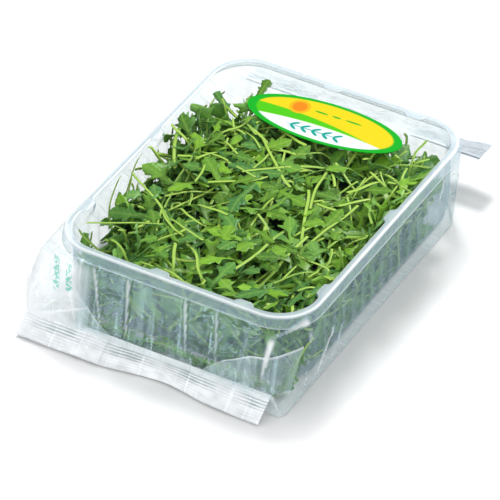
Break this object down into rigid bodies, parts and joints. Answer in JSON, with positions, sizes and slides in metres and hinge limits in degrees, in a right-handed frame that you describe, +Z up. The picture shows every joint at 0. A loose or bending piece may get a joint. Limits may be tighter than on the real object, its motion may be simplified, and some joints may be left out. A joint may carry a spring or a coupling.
{
  "type": "film-wrapped tray of salad leaves",
  "caption": "Clear film pack of rocket leaves: a rimmed translucent tray heaped with leaves, film drawn tight over it and crimped at both ends, oval label on top.",
  "frame": {"origin": "middle of the tray's foot, on the surface that the pack lies on", "axes": "+Z up, +Y along the pack's long side to its back, where the label is, +X to the right"},
  "size_m": [0.1895, 0.2872, 0.057],
  "materials": {
    "film": "thin clear glossy polypropylene film, creased",
    "label": "printed glossy film label, green border on yellow",
    "tray": "thin milky translucent thermoformed plastic",
    "leaves": "fresh leaf, satin",
    "stalks": "pale fresh stalk, satin"
  },
  "bodies": {
    "root": {"bag": "film", "label": "label"}
  },
  "joints": []
}
